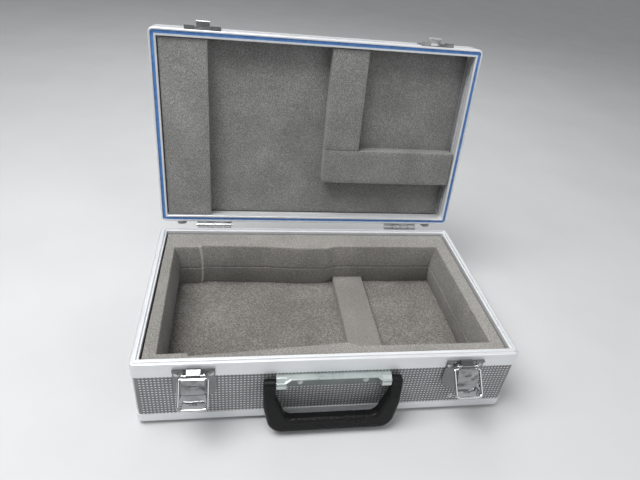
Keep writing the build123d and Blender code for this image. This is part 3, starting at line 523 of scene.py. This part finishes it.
def dimpled_board(name, node, body, place, ends, size, field, matrix=None):
    """A board with a field of small raised squares on its outer face.

    place gives its shape, ends the extra lines where its face bends, size its two lengths,
    and field the part of it, (a0, b0, a1, b1), that the squares cover.
    """
    w, h = size
    middle_a = dimple_marks(field[0], field[2])
    middle_b = dimple_marks(field[1], field[3])
    xs = [*ends, *middle_a, *(w - e for e in reversed(ends))]
    ys = [0.0, *middle_b, h]
    first_a, last_a = len(ends), len(ends) + len(middle_a) - 1
    verts, faces, kinds = [], [], []

    def add(a, b, rise):
        verts.append(place(a, b, rise))
        return len(verts) - 1

    grid = [[add(a, b, 0) for b in ys] for a in xs]
    behind = [[add(a, b, -BOARD) for b in (0, h)] for a in xs]
    corners = ((-1, -1), (1, -1), (1, 1), (-1, 1))
    for i in range(len(xs) - 1):
        for j in range(len(ys) - 1):
            ring = [grid[i][j], grid[i + 1][j], grid[i + 1][j + 1], grid[i][j + 1]]
            if not (first_a <= i < last_a and 1 <= j < len(ys) - 2):
                faces.append(tuple(ring))
                kinds.append(FOLD if len(ends) > 2 and i in (0, len(xs) - 2) else GROUND)
                continue
            a, b = (xs[i] + xs[i + 1]) / 2, (ys[j] + ys[j + 1]) / 2
            low = [add(a + s * DIMPLE_FOOT[0], b + t * DIMPLE_FOOT[1], 0) for s, t in corners]
            high = [add(a + s * DIMPLE_TOP[0], b + t * DIMPLE_TOP[1], DIMPLE_RISE) for s, t in corners]
            for k in range(4):
                n = (k + 1) % 4
                faces.append((ring[k], ring[n], low[n], low[k]))
                faces.append((low[k], low[n], high[n], high[k]))
                kinds += [GROUND, FLANK]
            faces.append(tuple(high))
            kinds.append(RAISED)
    last_i, last_j = len(xs) - 1, len(ys) - 1
    for i in range(last_i):
        faces.append((behind[i][1], behind[i + 1][1], behind[i + 1][0], behind[i][0]))
        faces.append((behind[i][0], behind[i + 1][0], grid[i + 1][0], grid[i][0]))
        faces.append((grid[i][last_j], grid[i + 1][last_j], behind[i + 1][1], behind[i][1]))
        kinds += [INSIDE, INSIDE, INSIDE]
    faces.append((behind[0][1], behind[0][0], *grid[0]))
    faces.append((behind[last_i][0], behind[last_i][1], *reversed(grid[last_i])))
    kinds += [INSIDE, INSIDE]
    mats = [MATS[key] for key in ("face", "dimple", "inside", "flank", "fold")]
    obj = make_object(name, verts, faces, mats, kinds, matrix)
    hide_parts(node)
    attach(obj, body)


def drawn_in(points, distance):
    """A clockwise outline with every side moved inwards by distance."""
    inner = []
    for i, corner in enumerate(points):
        before, here, after = Vector(points[i - 1]), Vector(corner), Vector(points[(i + 1) % len(points)])
        first = (here - before).normalized()
        second = (after - here).normalized()
        middle = Vector((first.y + second.y, -first.x - second.x)).normalized()
        reach = distance / (middle.x * first.y - middle.y * first.x)
        inner.append(here + middle * reach)
    return inner


def along(points, counts):
    """Points spread along a closed outline, counts of them on each side."""
    out = []
    for i, count in enumerate(counts):
        a, b = Vector(points[i]), Vector(points[(i + 1) % len(points)])
        out += [a.lerp(b, k / count) for k in range(count)]
    return out


def wobble(x, y, z, size, seed):
    """A smooth value between about -1 and 1 whose lumps are size millimetres across."""
    return noise.noise(Vector((x / size + seed, y / size - seed, z / size + 2 * seed)))


def foam_surround(name, node, up_low, up_high, set_back, mats, seed):
    """One layer of the foam round the recess. The two layers' cut walls swell in one smooth curve.

    set_back cuts the recess wider at the layer's top edge, which leaves the dark seam above it.
    """
    lengths = [(Vector(CAVITY[(i + 1) % len(CAVITY)]) - Vector(p)).length for i, p in enumerate(CAVITY)]
    counts = [max(2, int(length / WALL_GRID)) for length in lengths]
    levels = [up_high + (up_low - up_high) * k / WALL_STEPS for k in range(WALL_STEPS + 1)]
    rings = []
    profile = [(-0.5, up_high), (-0.15, up_high - 0.1), (0.0, up_high - 0.35)]
    if set_back:
        profile = [(-1.6, up_high), (-1.5, up_high - 0.6), (-0.9, up_high - 1.3)]
    profile += [(0.0, z) for z in levels[1:-1]]
    profile += [(0.0, up_low + 0.35), (-0.3, up_low + 0.12), (-1.2, up_low)]
    for offset, up in profile:
        t = (FOAM_TOP - up) / (FOAM_TOP - FOAM_FLOOR)
        swell = FOAM_BULGE * math.sin(math.pi * min(max(t, 0.0), 1.0)) ** 0.9
        ring = []
        outline = drawn_in(CAVITY, swell + offset)
        for p in along(outline, counts):
            push = 0.30 * wobble(p.x, p.y, up, 26.0, seed) + 0.12 * wobble(p.x, p.y, up, 7.0, seed + 3)
            push += 0.12 * wobble(p.x, p.y, up, 2.6, seed + 7)
            n = Vector((p.x, p.y)).normalized()
            ring.append((p.x + n.x * push, p.y + n.y * push, RIM_Z + up))
        rings.append(ring)
    verts = [v for ring in rings for v in ring]
    n = len(rings[0])
    faces = []
    for k in range(len(rings) - 1):
        for i in range(n):
            j = (i + 1) % n
            faces.append((k * n + i, (k + 1) * n + i, (k + 1) * n + j, k * n + j))
    w, d = CASE_W / 2 - FOAM_INSET, CASE_D / 2 - FOAM_INSET
    rim = along([(-w, d), (w, d), (w, -d), (-w, -d)], [60, 36, 60, 36])
    m = len(rim)
    first = len(verts)
    outer_levels = [(0.7, up_high), (0.0, up_high - 0.7), (0.0, up_low + 0.4), (0.4, up_low)]
    for inset, up in outer_levels:
        for p in rim:
            s = 0.25 * wobble(p.x, p.y, up, 18.0, seed + 11) - 0.25
            x = p.x * (1 - inset / w) + s * math.copysign(1, p.x) * (abs(p.x) > w - 1)
            y = p.y * (1 - inset / d) + s * math.copysign(1, p.y) * (abs(p.y) > d - 1)
            verts.append((x, y, RIM_Z + up))
    for k in range(len(outer_levels) - 1):
        for i in range(m):
            j = (i + 1) % m
            here, below = first + k * m, first + (k + 1) * m
            faces.append((here + i, here + j, below + j, below + i))
    last_in = (len(rings) - 1) * n
    last_out = first + (len(outer_levels) - 1) * m
    strip = range(counts[0], counts[0] + counts[1])
    indices = [STRIP if i < last_in and i % n in strip else CUT for i in range(len(faces))]
    obj = make_object(name, verts, faces, mats, indices)
    bm = bmesh.new()
    bm.from_mesh(obj.data)
    bm.verts.ensure_lookup_table()
    for a0, an, b0, bn in ((0, n, first, m), (last_in, n, last_out, m)):
        edges = []
        for start, count in ((a0, an), (b0, bn)):
            for i in range(count):
                ends = bm.verts[start + i], bm.verts[start + (i + 1) % count]
                edges.append(bm.edges.get(ends))
        bmesh.ops.triangle_fill(bm, edges=edges, use_beauty=True, use_dissolve=False)
    bmesh.ops.recalc_face_normals(bm, faces=bm.faces)
    bm.to_mesh(obj.data)
    bm.free()
    smooth_by_angle(obj.data, 35)
    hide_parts(node)
    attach(obj, "base")


def soft_block(name, node, body, low, high, mats, seed, matrix=None):
    """A block of foam with softened edges and a slightly uneven surface."""
    low, high = Vector(low), Vector(high)
    axes = []
    for a in range(3):
        length = high[a] - low[a]
        count = max(1, int((length - 2 * SOFT_EDGE) / BLOCK_GRID))
        inner = [low[a] + SOFT_EDGE + (length - 2 * SOFT_EDGE) * k / count for k in range(count + 1)]
        axes.append([low[a], low[a] + SOFT_EDGE * 0.35, *inner, high[a] - SOFT_EDGE * 0.35, high[a]])
    index, verts, faces = {}, [], []

    def vert(i, j, k):
        key = (i, j, k)
        if key not in index:
            p = Vector((axes[0][i], axes[1][j], axes[2][k]))
            core = Vector([min(max(p[a], low[a] + SOFT_EDGE), high[a] - SOFT_EDGE) for a in range(3)])
            away = p - core
            if away.length > 1e-6:
                p = core + away.normalized() * SOFT_EDGE
                push = BLOCK_LUMPS * wobble(p.x, p.y, p.z, 22.0, seed) - BLOCK_LUMPS
                push += 0.08 * wobble(p.x, p.y, p.z, 5.0, seed + 5)
                p += away.normalized() * push
            index[key] = len(verts)
            verts.append(p)
        return index[key]

    sizes = [len(a) - 1 for a in axes]
    for a in range(3):
        b, c = (a + 1) % 3, (a + 2) % 3
        for end in (0, sizes[a]):
            for i in range(sizes[b]):
                for j in range(sizes[c]):
                    quad = []
                    for di, dj in ((0, 0), (1, 0), (1, 1), (0, 1)):
                        key = [0, 0, 0]
                        key[a], key[b], key[c] = end, i + di, j + dj
                        quad.append(vert(*key))
                    faces.append(tuple(quad if end else reversed(quad)))
    obj = make_object(name, verts, faces, mats, None, matrix)
    smooth_by_angle(obj.data, 40)
    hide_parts(node)
    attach(obj, body)


# ---------------------------------------------------------------- the pieces
def cad_material(name):
    """The material of a CAD node, by its name."""
    if name.endswith("_long_rails"):
        return "frame_x"
    if name.endswith("_side_rails"):
        return "frame_y"
    if name.startswith("latch_bail"):
        return "wire"
    if name in ("handle_bracket", "handle_bracket_rivets"):
        return "zinc"
    if name.endswith(("rivets", "screws")) or "pin" in name or name == "front_stud":
        return "steel"
    if name in ("keeper_left", "keeper_right"):
        return "keeper"
    if name in ("latch_plate_left", "latch_plate_right"):
        return "plate"
    if name.startswith("latch_"):
        return "chrome"
    if name.startswith("hinge_"):
        return "hinge"
    if name == "handle_grip":
        return "grip"
    if name == "lid_seal":
        return "seal"
    return "foot" if name.endswith("feet") else "inside"


def dress_cad_nodes():
    """Materials for the CAD nodes that stay, with smooth shading over their rounded faces."""
    pressed = ("latch_plate", "latch_lever", "keeper", "hinge_base_leaf", "hinge_lid_leaf")
    for name, obj in nodes.items():
        paint(obj, MATS[cad_material(name)])
        smooth_by_angle(obj.data, 32)
        if name.startswith(pressed):
            soften_edges(obj, 0.15)
        if name == "handle_bracket":
            soften_edges(obj, 0.3)
            paint_bracket_shade(obj)


def paint_bracket_shade(obj):
    """The bracket's plate, under its ledge, is painted darker than the rest of it, as shade."""
    obj.data.materials.append(MATS["zinc_shade"])
    for face in obj.data.polygons:
        middle = obj.matrix_world @ face.center
        behind = middle.y > pt(0, PLATE_FRONT, 0).y
        if face.normal.y < -0.9 and behind and abs(middle.x) < PLATE_HALF * 0.001:
            face.material_index = 1


def soften_edges(obj, width):
    """A small rounding on a pressed or cast piece's edges, in millimetres."""
    bevel = obj.modifiers.new("rounded edges", "BEVEL")
    bevel.width = width * 0.001
    bevel.segments = 2
    bevel.limit_method = "ANGLE"
    bevel.angle_limit = math.radians(48)


def even_copy(source):
    """The mesh of a CAD object, remade with small even faces."""
    draft = bpy.data.objects.new("grip_draft", source.data.copy())
    bpy.context.scene.collection.objects.link(draft)
    draft.matrix_world = source.matrix_world
    even = draft.modifiers.new("even mesh", "REMESH")
    even.mode = "VOXEL"
    even.voxel_size = GRIP_MESH * 0.001
    bpy.context.view_layer.update()
    evaluated = draft.evaluated_get(bpy.context.evaluated_depsgraph_get())
    mesh = bpy.data.meshes.new_from_object(evaluated)
    bpy.data.objects.remove(draft)
    return mesh


def fade(value, width):
    """From 0 to 1 as a value grows from 0 to a width."""
    return min(max(value / width, 0.0), 1.0)


def make_grip():
    """The handle with its moulded grain, which is deep along the bar and faint on the arms.

    The grain only sinks into the CAD shape. Points near a pin's hole are moved onto it, so that it
    stays round.
    """
    source = nodes["handle_grip"]
    mesh = even_copy(source)
    pivot = pt(*HANDLE_PIVOT)
    tilt = Matrix.Rotation(math.radians(HANDLE_TILT), 3, "X")
    place = source.matrix_world.copy()
    back = place.inverted()
    normals = [v.normal.copy() for v in mesh.vertices]
    for v, normal in zip(mesh.vertices, normals):
        world = place @ v.co
        local = tilt @ (world - pivot) * 1000
        ring = math.hypot(local.y, local.z)
        if ring < PIN_HOLE_R + 1.0 and PIN_HOLE_X[0] < abs(local.x) < PIN_HOLE_X[1]:
            away = Vector((0, local.y, local.z)) * (PIN_HOLE_R / max(ring, 1e-6) - 1.0)
            v.co = back @ (world + tilt.inverted() @ away * 0.001)
            continue
        bar = fade(-local.z - BAR_HIGH, 3.0) * fade(BAR_HALF - abs(local.x), 6.0)
        bar *= fade(BAR_LOW + local.z, 1.5)
        nearest = noise.voronoi(world * 1000 / PEBBLE)[0][0]
        dome = 1.0 - min(nearest / PEBBLE_R, 1.0) ** 2
        height = (ARM_GRAIN + BAR_GRAIN * bar) * (dome - 1.0)
        v.co = back @ (world + normal * height * 0.001)
    obj = bpy.data.objects.new("grip_moulded", mesh)
    bpy.context.scene.collection.objects.link(obj)
    obj.matrix_world = place
    mesh.shade_smooth()
    paint(obj, MATS["grip"])
    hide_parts("handle_grip")
    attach(obj, "handle")


def make_boards():
    """The base's and the lid's boards. The walls' faces lie SKIN inside the frames' faces."""
    z0 = FLOOR_Z + WALL_END
    h = RIM_Z - BASE_GAP - z0
    field_low = FLOOR_Z + EDGE_FACE - z0 - TUCK
    field_high = RIM_Z - RIM_FACE - z0 + TUCK
    lid0 = RIM_Z + LID_GAP
    lid_h = LID_H - WALL_END - LID_GAP
    face_x, face_y = CASE_W / 2 - SKIN, CASE_D / 2 - SKIN
    end_x, end_y = face_x - SHEET_R, face_y - SHEET_R
    walls = [
        ("front", (-end_x, -face_y), (1, 0, 0), 2 * end_x),
        ("back", (end_x, face_y), (-1, 0, 0), 2 * end_x),
        ("left", (-face_x, end_y), (0, -1, 0), 2 * end_y),
        ("right", (face_x, -end_y), (0, 1, 0), 2 * end_y),
    ]
    bend = [TURN * k / 5 for k in range(5)]
    for side, (x, y), across, length in walls:
        w = length + 2 * TURN
        place = wall_place((x, y, z0), across, length)
        field = (TURN, field_low, w - TURN, field_high)
        dimpled_board(f"{side}_board_of_base", f"base_{side}_board", "base", place, bend, (w, h), field)
        place = wall_place((x, y, lid0), across, length)
        size = (w, lid_h)
        field = (TURN, LID_FIELD[0], w - TURN, LID_FIELD[1])
        dimpled_board(f"{side}_board_of_lid", f"lid_{side}_board", "lid", place, bend, size, field, OPENED)
    w, d = CASE_W - FLAT_SHORT, CASE_D - FLAT_SHORT
    inner = (FLAT_MARGIN, FLAT_MARGIN, w - FLAT_MARGIN, d - FLAT_MARGIN)
    top = flat_place((-w / 2, -d / 2, RIM_Z + LID_H - FLAT_IN), (1, 0, 0), (0, 1, 0))
    dimpled_board("top_board_of_lid", "lid_top_board", "lid", top, [0.0], (w, d), inner, OPENED)
    under = flat_place((-w / 2, d / 2, FLOOR_Z + FLAT_IN), (1, 0, 0), (0, -1, 0))
    dimpled_board("bottom_board_of_base", "base_bottom_board", "base", under, [0.0], (w, d), inner)


def make_foam():
    """The foam round and under the recess, its divider, and the lid's sheet with its three blocks."""
    top = [MATS["foam_top"], MATS["foam_cut"], MATS["foam_edge"]]
    upper, lower = "base_foam_upper_surround", "base_foam_lower_surround"
    foam_surround("foam_upper_layer", upper, FOAM_SEAM, FOAM_TOP, False, top, 1.3)
    foam_surround("foam_lower_layer", lower, FOAM_FLOOR, FOAM_SEAM, True, top, 4.1)
    w, d = CASE_W / 2 - FOAM_INSET, CASE_D / 2 - FOAM_INSET
    floor = RIM_Z + FOAM_FLOOR
    low, high = (-w, -d, FLOOR_Z + PAD_LOW), (w, d, floor)
    soft_block("foam_floor_pad", "base_foam_floor", "base", low, high, [MATS["foam_floor"]], 2.2)
    low, high = (30.0, -91.0, floor), (68.5, 75.0, RIM_Z + DIVIDER_TOP)
    soft_block("foam_divider_block", "base_foam_divider", "base", low, high, [MATS["foam_block"]], 5.7)
    face, sheet, behind = RIM_Z + LID_FOAM_FACE, RIM_Z + LID_SHEET, RIM_Z + LID_SHEET_BACK
    lid_blocks = [
        ("sheet", (-180.8, -104.8, sheet), (180.8, 107.0, behind), 6.1),
        ("column", (-180.7, -104.7, face), (-128.0, 105.0, sheet), 7.3),
        ("upright", (12.0, -104.7, face), (54.7, 14.5, sheet), 8.9),
        ("crossbar", (12.0, 14.7, face), (180.7, 57.8, sheet), 9.4),
    ]
    mats = [MATS["foam_lid"]]
    for part, low, high, seed in lid_blocks:
        soft_block(f"foam_lid_{part}", f"lid_foam_{part}", "lid", low, high, mats, seed, OPENED)


bpy.context.scene.view_settings.view_transform = "Standard"
make_camera()
make_world()
make_floor()
area_light("key", (-0.50, -0.20, 1.30), (0.0, 0.0, 0.05), (0.8, 0.8), 18.5)
area_light("fill", (0.9, -1.1, 0.8), (0.0, 0.0, 0.1), (1.2, 0.8), 4.0)
area_light("rear", (0.2, 1.2, 1.2), (0.0, 0.1, 0.1), (1.4, 0.6), 5.0)
MATS = make_materials()
dress_cad_nodes()
make_boards()
make_foam()
make_grip()
